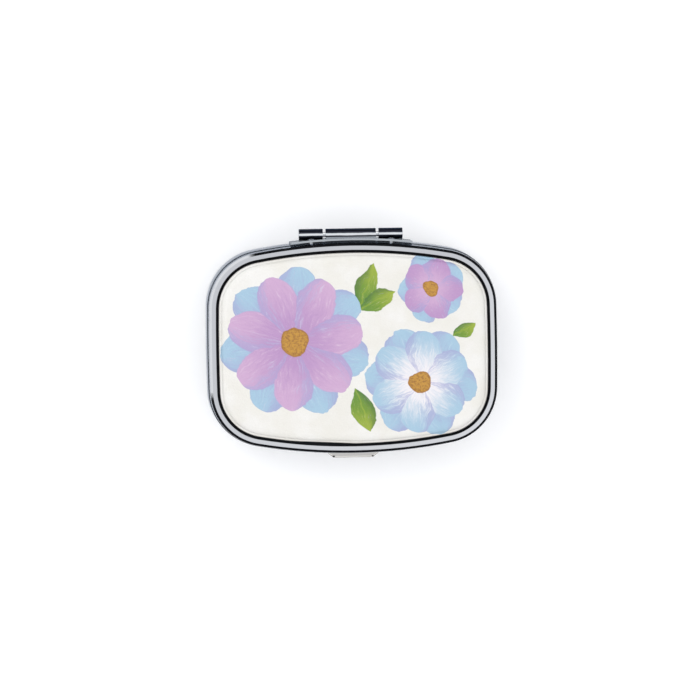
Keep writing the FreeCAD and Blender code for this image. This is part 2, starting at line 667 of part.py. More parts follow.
def make_push_button():
    body = new_body("push_button")
    shoulder = "Sizes.button_high - Sizes.bevel_drop"
    face = button_outline(body, "face", "0", "Sizes.button_low")
    pad(body, face, shoulder + " - Sizes.button_low")
    rounded = []
    for index, edge in enumerate(body.Shape.Edges, start=1):
        box = edge.BoundBox
        outside = box.Center.y < -(number("Sizes.half_wide") + number("Sizes.button_round"))
        if outside and box.Center.z < number(shoulder) - 1e-3:
            rounded.append("Edge%d" % index)
    fillet(body, rounded, "Sizes.button_round")
    bevel = body.newObject("PartDesign::AdditiveLoft", "push_button_bevel")
    bevel.Profile = button_outline(body, "bevel_low", "Sizes.button_round / 4", shoulder)
    bevel.Sections = [button_outline(body, "bevel_high", "Sizes.button_bevel",
                                     "Sizes.button_high")]
    bevel.Ruled = True
    doc.recompute()
    flange = rectangle(body, "flange", "XY_Plane", "Sizes.button_low + Sizes.flange_step",
                       "-Sizes.flange_half", "Sizes.flange_half",
                       "-Sizes.flange_front", "-Sizes.flange_back")
    pad(body, flange, "Sizes.button_high - Sizes.button_low - 2 * Sizes.flange_step")
    return body


def make_latch_plate():
    body = new_body("latch_plate")
    outline = rectangle(body, "outline", "XY_Plane", "Sizes.latch_low",
                        "-Sizes.latch_half", "Sizes.latch_half",
                        "-Sizes.flange_back", "-Sizes.latch_back")
    pad(body, outline, "Sizes.latch_high - Sizes.latch_low")
    window = rectangle(body, "window", "XY_Plane", "0",
                       "-Sizes.window_half", "Sizes.window_half",
                       "-Sizes.window_front", "-Sizes.window_back")
    pocket(body, window, FAR, backwards=True)
    return body


def make_latch_housing():
    """A block on the base's floor with two rails for the latch plate."""
    body = new_body("latch_housing")
    outline = rectangle(body, "outline", "XY_Plane", "Sizes.case_wall + Sizes.ease",
                        "-Sizes.housing_half", "Sizes.housing_half",
                        "-Sizes.housing_front + Sizes.housing_foot", "-Sizes.housing_back")
    pad(body, outline, "Sizes.housing_high - Sizes.case_wall - Sizes.ease")
    front = rectangle(body, "front", "XY_Plane", "Sizes.waist_low",
                      "-Sizes.housing_half", "Sizes.housing_half",
                      "-Sizes.housing_front + Sizes.housing_waist", "-Sizes.housing_back")
    pad(body, front, "Sizes.housing_high - Sizes.waist_low")
    rails = rectangle(body, "rails", "XY_Plane", "Sizes.housing_high",
                      "-Sizes.latch_half - Sizes.rail_room", "Sizes.latch_half + Sizes.rail_room",
                      "-Sizes.housing_front", "-Sizes.housing_back - Sizes.housing_wall")
    pocket(body, rails, "Sizes.housing_high - Sizes.latch_low + Sizes.ease")
    slot = rectangle(body, "slot", "XY_Plane", "Sizes.housing_high",
                     "-Sizes.hook_half - Sizes.nose_room", "Sizes.hook_half + Sizes.nose_room",
                     "-Sizes.housing_front", "-Sizes.hook_front + Sizes.nose_slot")
    pocket(body, slot, "Sizes.housing_high - Sizes.slot_floor")
    return body


def make_button_spring():
    """A bowed leaf spring between the latch plate and the housing's back wall."""
    body = new_body("button_spring")
    sketch = new_sketch(body, "bow", "XY_Plane", "Sizes.latch_low + Sizes.spring_room")
    ends_y = -number("Sizes.housing_back + Sizes.housing_wall + Sizes.spring_room")
    top_y = -number("Sizes.latch_back - Sizes.spring_room")
    half = number("Sizes.latch_half - Sizes.spring_short")
    sheet_now = number("Sizes.spring_sheet")
    rise = ends_y - top_y - sheet_now
    radius = (half ** 2 + rise ** 2) / (2 * rise)
    centre = FreeCAD.Vector(0, top_y + sheet_now + radius, 0)
    lean = math.asin(half / (radius + sheet_now))
    up = FreeCAD.Vector(0, 0, 1)
    quarter = math.pi / 2
    for size in (radius, radius + sheet_now):
        circle = Part.Circle(centre, up, size)
        sketch.addGeometry(Part.ArcOfCircle(circle, -quarter - lean, -quarter + lean), False)
    for side, place in ((-1, 1), (1, 2)):
        points = []
        for size in (radius, radius + sheet_now):
            angle = -quarter + side * lean
            points.append(centre + FreeCAD.Vector(math.cos(angle), math.sin(angle), 0) * size)
        line = sketch.addGeometry(Part.LineSegment(*points), False)
        sketch.addConstraint(Sketcher.Constraint("Coincident", line, 1, 0, place))
        sketch.addConstraint(Sketcher.Constraint("Coincident", line, 2, 1, place))
    pad(body, sketch, "Sizes.latch_high - Sizes.latch_low - 2 * Sizes.spring_room")
    return body


# ---------------------------------------------------------------- tray

def make_pill_tray():
    body = new_body("pill_tray")
    deep = "Sizes.tray_high - Sizes.tray_low"
    outside = cushion(body, "outside", "Sizes.tray_inset", "Sizes.tray_low")
    pad(body, outside, deep)
    inner = "Sizes.tray_inset + Sizes.tray_wall"
    room = cushion(body, "room", inner, "Sizes.tray_high")
    pocket(body, room, deep + " - Sizes.tray_wall")
    divider = rectangle(body, "divider", "XY_Plane", "Sizes.tray_low + Sizes.tray_wall / 2",
                        "-Sizes.divider_half", "Sizes.divider_half",
                        "-Sizes.notch_back", "Sizes.half_wide - (%s) + Sizes.tray_bite" % inner)
    pad(body, divider, deep + " - Sizes.tray_wall / 2")
    back = "-Sizes.notch_back + Sizes.tray_wall"
    front = "-Sizes.half_wide + %s - Sizes.tray_bite" % inner
    side = "Sizes.notch_half + Sizes.tray_wall"
    block = rectangle(body, "block", "XY_Plane", "Sizes.tray_low + Sizes.tray_wall / 2",
                      "-(%s)" % side, side, front, back)
    pad(body, block, deep + " - Sizes.tray_wall / 2")
    bottom_edges = outline_edges(body, number("Sizes.tray_low"), number("Sizes.tray_inset"))
    fillet(body, bottom_edges, "Sizes.tray_turn")
    notch = rectangle(body, "notch", "XY_Plane", "0", "-Sizes.notch_half", "Sizes.notch_half",
                      "-Sizes.half_wide - 1", "-Sizes.notch_back")
    pocket(body, notch, FAR, backwards=True)
    low = number("Sizes.tray_low + Sizes.tray_wall")
    high = number("Sizes.tray_high")

    wall_half = number("Sizes.tray_wall") / 2
    side_wall = number("Sizes.half_long - Sizes.tray_inset - Sizes.tray_wall - 1")

    def in_compartments(x, y):
        beside_notch = abs(x) < number("Sizes.notch_half") + wall_half
        before_notch = y < -number("Sizes.notch_back") + wall_half
        return abs(x) < side_wall and not (beside_notch and before_notch)

    fillet(body, upright_edges(body, low, high, in_compartments), "Sizes.tray_round")
    fillet(body, level_edges(body, low), "Sizes.tray_foot_round")
    return body


def make_tray_tape():
    body = new_body("tray_tape")
    outline = rectangle(body, "outline", "XY_Plane", "Sizes.case_wall",
                        "-Sizes.tape_half_long", "Sizes.tape_half_long",
                        "-Sizes.tape_half_wide + Sizes.tape_shift",
                        "Sizes.tape_half_wide + Sizes.tape_shift")
    pad(body, outline, "Sizes.tray_low - Sizes.case_wall")
    return body


pieces = [
    make_base_shell(),
    make_base_hinge_leaf(),
    make_rivets("base_leaf_rivets", "Sizes.base_rivet_height", "Sizes.case_wall"),
    make_hinge_pin(),
    make_latch_housing(),
    make_button_spring(),
    make_pill_tray(),
    make_tray_tape(),
    make_push_button(),
    make_latch_plate(),
    make_lid_shell(),
    make_lid_hinge_leaf(),
    make_rivets("lid_leaf_rivets", "Sizes.lid_rivet_height", "Sizes.lid_wall_inset"),
    make_lid_hook(),
    make_mirror_frame(),
    make_sheet("mirror", "Sizes.mirror_inset", MIRROR_LOW, "Sizes.mirror_glass"),
    make_sheet("mirror_tape", "Sizes.mirror_inset + Sizes.tape_margin",
               "Sizes.lid_floor - Sizes.mirror_tape", "Sizes.mirror_tape"),
    make_sheet("board_glue", INNER_EDGE + " + Sizes.glue_margin", RECESS, "Sizes.glue"),
    make_sheet("cover_board", INNER_EDGE + " + Sizes.ease", BOARD_LOW, "Sizes.board"),
    make_lid_pad(),
    make_printed_cover(),
]
doc.recompute()

faults = []
for item in doc.Objects:
    if "Invalid" in item.State or "Error" in item.State:
        faults.append("%s %s" % (item.Name, item.State))
for piece in pieces:
    if piece.Shape.isNull() or not piece.Shape.isValid():
        faults.append("%s shape" % piece.Label)
if faults:
    raise ValueError("; ".join(faults))

os.makedirs("parts", exist_ok=True)
for piece in pieces:
    piece.Shape.exportStep("parts/%s.step" % piece.Label)
    box = piece.Shape.BoundBox
    print("%-18s solids %d volume %9.2f  x %.2f %.2f  y %.2f %.2f  z %.2f %.2f" % (
        piece.Label, len(piece.Shape.Solids), piece.Shape.Volume,
        box.XMin, box.XMax, box.YMin, box.YMax, box.ZMin, box.ZMax))
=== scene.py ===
import math

import bmesh
import bpy
from mathutils import Matrix, Vector


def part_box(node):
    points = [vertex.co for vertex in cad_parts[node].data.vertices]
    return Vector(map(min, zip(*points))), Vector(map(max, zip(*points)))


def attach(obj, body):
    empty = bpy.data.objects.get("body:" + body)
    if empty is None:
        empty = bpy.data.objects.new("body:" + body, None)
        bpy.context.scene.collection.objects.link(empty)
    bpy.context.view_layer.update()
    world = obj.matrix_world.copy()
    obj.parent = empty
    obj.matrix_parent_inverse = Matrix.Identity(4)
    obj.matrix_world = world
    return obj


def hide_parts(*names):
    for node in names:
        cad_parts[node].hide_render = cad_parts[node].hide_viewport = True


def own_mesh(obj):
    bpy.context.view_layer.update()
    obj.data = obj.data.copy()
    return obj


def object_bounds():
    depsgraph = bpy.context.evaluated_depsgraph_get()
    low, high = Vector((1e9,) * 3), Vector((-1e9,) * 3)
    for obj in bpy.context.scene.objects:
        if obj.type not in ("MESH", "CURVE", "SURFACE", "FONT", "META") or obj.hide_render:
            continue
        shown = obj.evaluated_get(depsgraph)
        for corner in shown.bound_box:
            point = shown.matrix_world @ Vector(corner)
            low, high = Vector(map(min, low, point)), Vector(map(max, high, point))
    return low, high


# A hinged metal pill box with a padded, printed top.  The CAD model gives every rigid piece;
# this script gives them materials and builds the soft pieces of the lid.
# Lengths are in metres, as in the frame.  MM turns millimetres into metres.

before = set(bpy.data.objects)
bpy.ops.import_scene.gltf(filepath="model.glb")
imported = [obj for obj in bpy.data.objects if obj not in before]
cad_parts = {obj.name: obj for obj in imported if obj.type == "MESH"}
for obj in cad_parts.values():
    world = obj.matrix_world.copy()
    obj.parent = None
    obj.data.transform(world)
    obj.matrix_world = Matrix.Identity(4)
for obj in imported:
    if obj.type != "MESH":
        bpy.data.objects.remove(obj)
cad_low, cad_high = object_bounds()

MM = 0.001
# the cushion outline: radii of the long bows, the short bows and the corners
LONG_BOW = 112 * MM
SHORT_BOW = 400 * MM
CORNER = 12 * MM
# its half length and half width
HALF_LONG = 30 * MM
HALF_WIDE = 22 * MM
# the painted shade, a near-black, in the lid's recess and on the cover's side in the gap, and
# the plating's tint at a grazing angle
PAINTED_GAP_SHADE = (0.012, 0.012, 0.014, 1)
GRAZING = (0.42, 0.46, 0.52)
# what the picture spans at the lid's height
VIEW_WIDTH = 143.15 * MM


# ------------------------------------------------------------------ node helpers

class Graph:
    """Adds nodes to a node tree and links them with short calls."""

    def __init__(self, tree):
        self.tree = tree

    def node(self, kind, **settings):
        node = self.tree.nodes.new(kind)
        for name, value in settings.items():
            setattr(node, name, value)
        return node

    def put(self, socket, value):
        if isinstance(value, bpy.types.NodeSocket):
            self.tree.links.new(value, socket)
        else:
            socket.default_value = value

    def calc(self, operation, *values):
        node = self.node("ShaderNodeMath", operation=operation)
        for socket, value in zip(node.inputs, values):
            self.put(socket, value)
        return node.outputs[0]

    def mix(self, factor, first, second, blend="MIX"):
        node = self.node("ShaderNodeMix", data_type="RGBA", blend_type=blend)
        self.put(node.inputs[0], factor)
        self.put(node.inputs[6], first)
        self.put(node.inputs[7], second)
        return node.outputs[2]

    def ramp(self, value, low, high, start=0.0, end=1.0):
        """A smooth step of value from low to high, mapped to start and end."""
        node = self.node("ShaderNodeMapRange", interpolation_type="SMOOTHSTEP")
        for index, item in enumerate((value, low, high, start, end)):
            self.put(node.inputs[index], item)
        return node.outputs[0]

    def noise(self, vector, scale, detail=2.0, roughness=0.5, distortion=0.0):
        node = self.node("ShaderNodeTexNoise")
        self.put(node.inputs["Vector"], vector)
        self.put(node.inputs["Scale"], scale)
        self.put(node.inputs["Detail"], detail)
        self.put(node.inputs["Roughness"], roughness)
        self.put(node.inputs["Distortion"], distortion)
        return node.outputs["Fac"]

    def combine(self, x, y, z=0.0):
        node = self.node("ShaderNodeCombineXYZ")
        for socket, value in zip(node.inputs, (x, y, z)):
            self.put(socket, value)
        return node.outputs[0]

    def scaled(self, vector, x, y, z):
        node = self.node("ShaderNodeVectorMath", operation="MULTIPLY")
        self.put(node.inputs[0], vector)
        self.put(node.inputs[1], (x, y, z))
        return node.outputs[0]

    def split(self, vector):
        """The x, y and z of vector."""
        node = self.node("ShaderNodeSeparateXYZ")
        self.put(node.inputs[0], vector)
        return node.outputs

    def length(self, vector):
        node = self.node("ShaderNodeVectorMath", operation="LENGTH")
        self.put(node.inputs[0], vector)
        return node.outputs["Value"]

    def dot(self, first, second):
        node = self.node("ShaderNodeVectorMath", operation="DOT_PRODUCT")
        self.put(node.inputs[0], first)
        self.put(node.inputs[1], second)
        return node.outputs["Value"]

    def bump(self, height, distance, strength):
        node = self.node("ShaderNodeBump")
        self.put(node.inputs["Strength"], strength)
        self.put(node.inputs["Distance"], distance)
        self.put(node.inputs["Height"], height)
        return node.outputs[0]


def new_material(name):
    """A material with an empty graph, its shader and the place in millimetres."""
    material = bpy.data.materials.new(name)
    material.use_nodes = True
    tree = material.node_tree
    tree.nodes.clear()
    graph = Graph(tree)
    output = graph.node("ShaderNodeOutputMaterial")
    shader = graph.node("ShaderNodeBsdfPrincipled")
    tree.links.new(shader.outputs[0], output.inputs[0])
    where = graph.node("ShaderNodeTexCoord").outputs["Object"]
    place = graph.scaled(where, 1 / MM, 1 / MM, 1 / MM)
    return material, graph, shader, place


# ------------------------------------------------------------------ materials

def metal(name, colour, gloss, stretch=(1, 1, 1), wear=0.5, edge=(1.0, 1.0, 1.0)):
    """Plated or bare metal: hair scratches along stretch, faint smudges, soft waviness.

    edge is the tint of what it reflects at a grazing angle.
    """
    material, graph, shader, place = new_material(name)
    lined = graph.scaled(place, *stretch)
    hair = graph.noise(lined, 9.0, 3.0, 0.65)
    smudge = graph.noise(place, 0.35, 3.0, 0.6)
    grime = graph.ramp(smudge, 0.48, 0.72)
    tone = graph.mix(graph.calc("MULTIPLY", grime, 0.10 * wear), (*colour, 1),
                     (*[value * 0.82 for value in colour], 1))
    graph.put(shader.inputs["Base Color"], tone)
    shader.inputs["Metallic"].default_value = 1.0
    shader.inputs["Specular Tint"].default_value = (*edge, 1)
    rough = graph.calc("MULTIPLY_ADD", hair, 0.05 * wear, gloss)
    rough = graph.calc("MULTIPLY_ADD", grime, 0.14 * wear, rough)
    graph.put(shader.inputs["Roughness"], rough)
    height = graph.calc("MULTIPLY_ADD", hair, 0.25, graph.calc("MULTIPLY", smudge, 1.5))
    graph.put(shader.inputs["Normal"], graph.bump(height, 0.004 * MM * wear, 0.6))
    return material


# how near the recess's floor the painted shade is put, and the lip above it that is left
# without it
SHADE_REACH = 0.1 * MM
UNSHADED_LIP = 0.12 * MM


def lid_metal(name, colour, edge, recess_floor, ring_top):
    """The lid's plating, with painted shade, near-black and not metallic, on the floor and
    inner walls of the recess that holds the cover.

    recess_floor and ring_top are heights in metres.
    """
    material = metal(name, colour, 0.05, edge=edge)
    graph = Graph(material.node_tree)
    shader = next(node for node in material.node_tree.nodes if node.type == "BSDF_PRINCIPLED")
    coordinates = graph.node("ShaderNodeTexCoord")
    normal = coordinates.outputs["Normal"]
    outward = graph.scaled(coordinates.outputs["Object"], 1, 1, 0)
    inward = graph.calc("LESS_THAN", graph.dot(normal, outward), -SHADE_REACH)
    height = graph.split(coordinates.outputs["Object"])[2]
    level = graph.calc("GREATER_THAN", graph.split(normal)[2], 0.9)
    low = graph.calc("LESS_THAN", height, recess_floor + SHADE_REACH)
    floor = graph.calc("MULTIPLY", level, low)
    within = graph.calc("GREATER_THAN", height, recess_floor - SHADE_REACH)
    below_lip = graph.calc("LESS_THAN", height, ring_top - UNSHADED_LIP)
    wall = graph.calc("MULTIPLY", inward, below_lip)
    # painted shade: the recess's floor and its inner walls below the lip, where the gap round
    # the cover lies in shade, turn near-black
    painted_shade = graph.calc("MULTIPLY", graph.calc("MAXIMUM", floor, wall), within)
    plating = shader.inputs["Base Color"].links[0].from_socket
    graph.put(shader.inputs["Base Color"], graph.mix(painted_shade, plating, PAINTED_GAP_SHADE))
    graph.put(shader.inputs["Metallic"], graph.calc("SUBTRACT", 1.0, painted_shade))
    gloss = shader.inputs["Roughness"].links[0].from_socket
    graph.put(shader.inputs["Roughness"], graph.calc("MULTIPLY_ADD", painted_shade, 0.5, gloss))
    return material


def hinge_metal(name, dark_reflection_colour, highlight_colour, plating, axis_y, axis_z, barrel):
    """Barrels coloured near-black as a painted dark reflection, with a painted highlight along
    their crest, on plated leaves.

    The crest runs along X above the axis at axis_y, axis_z; barrel is the barrels' radius.
    These are in metres.
    """
    material, graph, shader, place = new_material(name)
    x, y, z = graph.split(place)
    across = graph.calc("ABSOLUTE", graph.calc("SUBTRACT", y, axis_y / MM))
    rise = graph.calc("SUBTRACT", z, axis_z / MM)
    above = graph.calc("GREATER_THAN", rise, 0.0)
    ragged = graph.noise(graph.scaled(place, 0.25, 1, 1), 2.5, 3.0, 0.6)
    ragged = graph.calc("MULTIPLY_ADD", graph.calc("SUBTRACT", ragged, 0.5), 0.16, across)
    # painted highlight: a bright strip along the top of each barrel, where the light overhead
    # would reflect
    crest_highlight = graph.calc("MULTIPLY", graph.ramp(ragged, 0.30, 0.16), above)
    hair = graph.noise(graph.scaled(place, 0.4, 6, 6), 4.0, 3.0, 0.65)
    # painted dark reflection: the barrels' near-black, a little lighter along hair scratches
    painted_dark_barrel = graph.mix(graph.ramp(hair, 0.45, 0.75, 0.0, 0.35), (*dark_reflection_colour, 1),
                    (*[value * 1.6 for value in dark_reflection_colour], 1))
    reach = graph.length(graph.combine(across, rise))
    edge = barrel / MM
    leaf = graph.ramp(reach, edge + 0.06, edge + 0.22)
    tone = graph.mix(crest_highlight, painted_dark_barrel, (*highlight_colour, 1))
    graph.put(shader.inputs["Base Color"], graph.mix(leaf, tone, (*plating, 1)))
    shader.inputs["Metallic"].default_value = 1.0
    shader.inputs["Specular Tint"].default_value = (*GRAZING, 1)
    graph.put(shader.inputs["Roughness"],
              graph.calc("MULTIPLY_ADD", hair, 0.06, graph.ramp(crest_highlight, 0, 1, 0.16, 0.09)))
    graph.put(shader.inputs["Normal"], graph.bump(hair, 0.002 * MM, 0.5))
    return material


def plastic(name, colour, gloss, grain, through=0.0):
    """Moulded plastic with a fine grain and a slight flow pattern."""
    material, graph, shader, place = new_material(name)
    flow = graph.noise(place, 0.16, 2.0, 0.5, 0.4)
    tone = graph.mix(graph.ramp(flow, 0.35, 0.7), (*colour, 1),
                     (*[value * 0.95 for value in colour], 1))
    graph.put(shader.inputs["Base Color"], tone)
    fine = graph.noise(place, 14.0, 2.0, 0.6)
    graph.put(shader.inputs["Roughness"], graph.calc("MULTIPLY_ADD", fine, 0.12, gloss))
    graph.put(shader.inputs["Normal"], graph.bump(fine, grain * MM, 0.5))
    shader.inputs["Subsurface Weight"].default_value = through
    shader.inputs["Subsurface Radius"].default_value = (1.2 * MM, 1.1 * MM, 1.0 * MM)
    shader.inputs["Subsurface Scale"].default_value = 1.0
    return material


def flecked(name, colour, other, scale, gloss, relief):
    """Board, foam, tape and glue: two tones in a fibrous or cellular mix."""
    material, graph, shader, place = new_material(name)
    cells = graph.noise(place, scale, 4.0, 0.7)
    tone = graph.mix(graph.ramp(cells, 0.38, 0.62), (*colour, 1), (*other, 1))
    graph.put(shader.inputs["Base Color"], tone)
    graph.put(shader.inputs["Roughness"], graph.calc("MULTIPLY_ADD", cells, 0.15, gloss))
    graph.put(shader.inputs["Normal"], graph.bump(cells, relief * MM, 0.8))
    return material


def mirror_material():
    """Silvered glass with a few faint finger smudges."""
    material, graph, shader, place = new_material("mirror_glass")
    smudge = graph.ramp(graph.noise(place, 0.22, 4.0, 0.6, 0.8), 0.5, 0.75)
    graph.put(shader.inputs["Base Color"],
              graph.mix(graph.calc("MULTIPLY", smudge, 0.12), (0.90, 0.92, 0.925, 1),
                        (0.80, 0.82, 0.82, 1)))
    shader.inputs["Metallic"].default_value = 1.0
    graph.put(shader.inputs["Roughness"], graph.calc("MULTIPLY_ADD", smudge, 0.06, 0.015))
    return material


# ------------------------------------------------------------------ printed art

def linear(red, green, blue):
    """A screen colour, 0 to 255, as the linear colour that a shader takes."""
    values = []
    for value in (red, green, blue):
        share = value / 255
        values.append(share / 12.92 if share < 0.04045 else ((share + 0.055) / 1.055) ** 2.4)
    return (*values, 1.0)


# the print is a little greyer than its paints
PRINT_TONE = 0.86
PAPER = linear(243, 240, 231)
CREAM = linear(250, 248, 243)
WHITE = linear(250, 245, 247)
SKY = linear(172, 205, 226)
LILAC = linear(192, 152, 200)
PINK = linear(214, 176, 212)
IRIS = linear(168, 166, 212)
OCHRE = linear(205, 152, 58)
UMBER = linear(160, 108, 45)
LEAF = linear(104, 148, 44)
LIME = linear(160, 180, 56)
FERN = linear(56, 104, 50)


def turned_place(graph, place, centre, degrees):
    """The place seen from centre, with its x axis along the direction degrees."""
    offset = graph.node("ShaderNodeVectorMath", operation="SUBTRACT")
    graph.put(offset.inputs[0], place)
    graph.put(offset.inputs[1], (*centre, 0))
    turned = graph.node("ShaderNodeVectorRotate", rotation_type="Z_AXIS")
    graph.put(turned.inputs["Vector"], offset.outputs[0])
    turned.inputs["Angle"].default_value = -math.radians(degrees)
    return turned.outputs[0]


def brushed(graph, along, across, seed, inner, outer, shade):
    """Paint from inner to outer along a petal or leaf, darker to one side, with bristles."""
    bristles = graph.noise(graph.combine(graph.calc("MULTIPLY", along, 2.6),
                                         graph.calc("MULTIPLY", across, 5.0), seed),
                           2.0, 4.0, 0.65)
    uneven = graph.calc("SUBTRACT", bristles, 0.5)
    drift = graph.calc("MULTIPLY_ADD", uneven, 1.0, along)
    colour = graph.mix(graph.ramp(drift, 0.15, 0.95), inner, outer)
    side = graph.calc("MULTIPLY_ADD", uneven, 2.2, across)
    colour = graph.mix(graph.ramp(side, 0.1, 0.95, 0.0, 0.65), colour, shade)
    return graph.mix(graph.ramp(bristles, 0.55, 0.75, 0.0, 0.30), colour, WHITE)


# the greatest value of a petal's width curve, x ** 0.9 * (1 - x) ** 0.45
PETAL_PEAK = 0.424


def petal_layer(graph, place, under, centre, degrees, count, length, wide, seed, colours):
    """A ring of count equal petals round centre, painted over the colour under."""
    here = turned_place(graph, place, centre, degrees)
    x, y, z = graph.split(here)
    radius = graph.length(here)
    turn = graph.calc("ARCTAN2", y, x)
    step = 2 * math.pi / count
    # the nearest petal's own direction, and the angle from it
    petal = graph.calc("ROUND", graph.calc("DIVIDE", turn, step))
    apart = graph.calc("SUBTRACT", turn, graph.calc("MULTIPLY", petal, step))
    along = graph.calc("DIVIDE", radius, length)
    aside = graph.calc("MULTIPLY", radius, graph.calc("SINE", apart))
    held = graph.calc("MINIMUM", along, 0.9999)
    # a rounded petal: widest two thirds of the way out
    rise = graph.calc("POWER", held, 0.9)
    fall = graph.calc("POWER", graph.calc("SUBTRACT", 1.0, held), 0.45)
    width = graph.calc("MULTIPLY", graph.calc("MULTIPLY", rise, fall), wide / PETAL_PEAK)
    edge = graph.calc("SUBTRACT", width, graph.calc("ABSOLUTE", aside))
    inside = graph.calc("MULTIPLY", graph.ramp(edge, -0.03, 0.12),
                        graph.calc("LESS_THAN", along, 0.9999))
    across = graph.calc("DIVIDE", aside, graph.calc("MAXIMUM", width, 0.2))
    level = graph.calc("MULTIPLY_ADD", petal, 3.7, seed)
    colour = brushed(graph, along, across, level, *colours)
    rim = graph.ramp(edge, 0.0, 0.5, 0.30, 0.0)
    colour = graph.mix(rim, colour, colours[2])
    return graph.mix(inside, under, colour)


def leaf_layer(graph, place, under, root, degrees, length, wide, seed):
    """One pointed leaf with a pale vein, painted over the colour under."""
    x, aside, z = graph.split(turned_place(graph, place, root, degrees))
    along = graph.calc("DIVIDE", x, length)
    held = graph.calc("MINIMUM", graph.calc("MAXIMUM", along, 0.0), 1.0)
    width = graph.calc("MULTIPLY", graph.calc("SINE", graph.calc("MULTIPLY", held, math.pi)),
                       wide)
    edge = graph.calc("SUBTRACT", width, graph.calc("ABSOLUTE", aside))
    across = graph.calc("DIVIDE", aside, graph.calc("MAXIMUM", width, 0.2))
    colour = brushed(graph, along, across, seed, LEAF, LIME, FERN)
    vein = graph.ramp(graph.calc("ABSOLUTE", aside), 0.05, 0.22, 0.55, 0.0)
    colour = graph.mix(vein, colour, LIME)
    return graph.mix(graph.ramp(edge, 0.0, 0.15), under, colour)


def flower_eye(graph, place, under, centre, radius):
    """The round, speckled middle of a flower, with a darker rim."""
    away = graph.length(turned_place(graph, place, centre, 0))
    away = graph.calc("DIVIDE", away, radius)
    speckle = graph.noise(place, 1.9, 4.0, 0.7)
    tone = graph.mix(graph.ramp(speckle, 0.42, 0.66), OCHRE, UMBER)
    tone = graph.mix(graph.ramp(away, 0.78, 1.0, 0.0, 0.7), tone, UMBER)
    return graph.mix(graph.ramp(away, 0.97, 1.04, 1.0, 0.0), under, tone)


# a plain three-flower design: centre in mm, turn, petals, length, half width, eye radius
FLOWERS = [
    ((-12.0, 1.5), 10, 7, 15.5, 4.6, 2.9),
    ((13.5, -7.0), 25, 6, 11.5, 4.3, 2.3),
    ((16.0, 12.0), 0, 5, 7.0, 3.3, 1.5),
]
# root in mm, direction, length and half width
LEAVES = [
    ((1.0, 8.0), 70, 10.0, 2.4),
    ((1.0, 8.0), 25, 8.5, 2.1),
    ((0.0, -8.0), -70, 10.0, 2.4),
    ((20.3, 2.0), 30, 5.6, 1.5),
]


def printed_leather(edge_height):
    """White synthetic leather with painted flowers, leather grain and a soft gloss.

    Below edge_height, in metres, its side gets painted shade, the same near-black as the lid's
    recess.
    """
    material, graph, shader, place = new_material("printed_leather")
    flat = graph.scaled(place, 1, 1, 0)
    warp = graph.calc("SUBTRACT", graph.noise(flat, 0.25, 3.0, 0.55), 0.5)
    shift = graph.calc("MULTIPLY", warp, 2.2)
    warped = graph.node("ShaderNodeVectorMath", operation="ADD")
    graph.put(warped.inputs[0], flat)
    graph.put(warped.inputs[1], graph.combine(shift, graph.calc("MULTIPLY", shift, -0.8)))
    drawn = warped.outputs[0]

    wash = graph.noise(flat, 0.12, 3.0, 0.6)
    colour = graph.mix(graph.ramp(wash, 0.35, 0.7), PAPER, CREAM)
    for index, (root, degrees, length, wide) in enumerate(LEAVES):
        colour = leaf_layer(graph, drawn, colour, root, degrees, length, wide, 5.0 * index)
    back = (IRIS, SKY, IRIS)
    fronts = ((LILAC, PINK, IRIS), (WHITE, SKY, IRIS), (PINK, LILAC, IRIS))
    for index, (centre, degrees, count, length, wide, eye) in enumerate(FLOWERS):
        seed = 31.0 * index
        colour = petal_layer(graph, drawn, colour, centre, degrees + 180 / count, count,
                             length, wide, seed, back)
        colour = petal_layer(graph, drawn, colour, centre, degrees, count, length * 0.9,
                             wide * 0.9, seed + 9.0, fronts[index])
        colour = flower_eye(graph, drawn, colour, centre, eye)
    weave = graph.noise(flat, 3.4, 3.0, 0.7)
    colour = graph.mix(graph.ramp(weave, 0.35, 0.7, 0.0, 0.10), colour,
                       linear(214, 208, 214), "MULTIPLY")
    colour = graph.mix(1.0, colour, (PRINT_TONE, PRINT_TONE, PRINT_TONE, 1), "MULTIPLY")
    # painted shade: the cover's side below the ring's top, down in the gap, is coloured
    # near-black
    painted_side_shade = graph.ramp(graph.split(place)[2], edge_height / MM, edge_height / MM - 0.15)
    graph.put(shader.inputs["Base Color"], graph.mix(painted_side_shade, colour, PAINTED_GAP_SHADE))

    # leather grain: small rounded cells and brush ridges
    cells = graph.node("ShaderNodeTexVoronoi", feature="SMOOTH_F1")
    graph.put(cells.inputs["Vector"], place)
    cells.inputs["Scale"].default_value = 2.6
    cells.inputs["Smoothness"].default_value = 0.6
    ridge = graph.noise(graph.scaled(place, 1.0, 2.6, 1.0), 1.5, 4.0, 0.7, 0.5)
    height = graph.calc("MULTIPLY_ADD", cells.outputs["Distance"], 0.55,
                        graph.calc("MULTIPLY", ridge, 0.7))
    graph.put(shader.inputs["Normal"], graph.bump(height, 0.12 * MM, 0.6))
    graph.put(shader.inputs["Roughness"], graph.calc("MULTIPLY_ADD", weave, 0.16, 0.40))
    shader.inputs["Specular IOR Level"].default_value = 0.45
    shader.inputs["Coat Weight"].default_value = 0.12
    shader.inputs["Coat Roughness"].default_value = 0.25
    return material


# ------------------------------------------------------------------ soft pieces

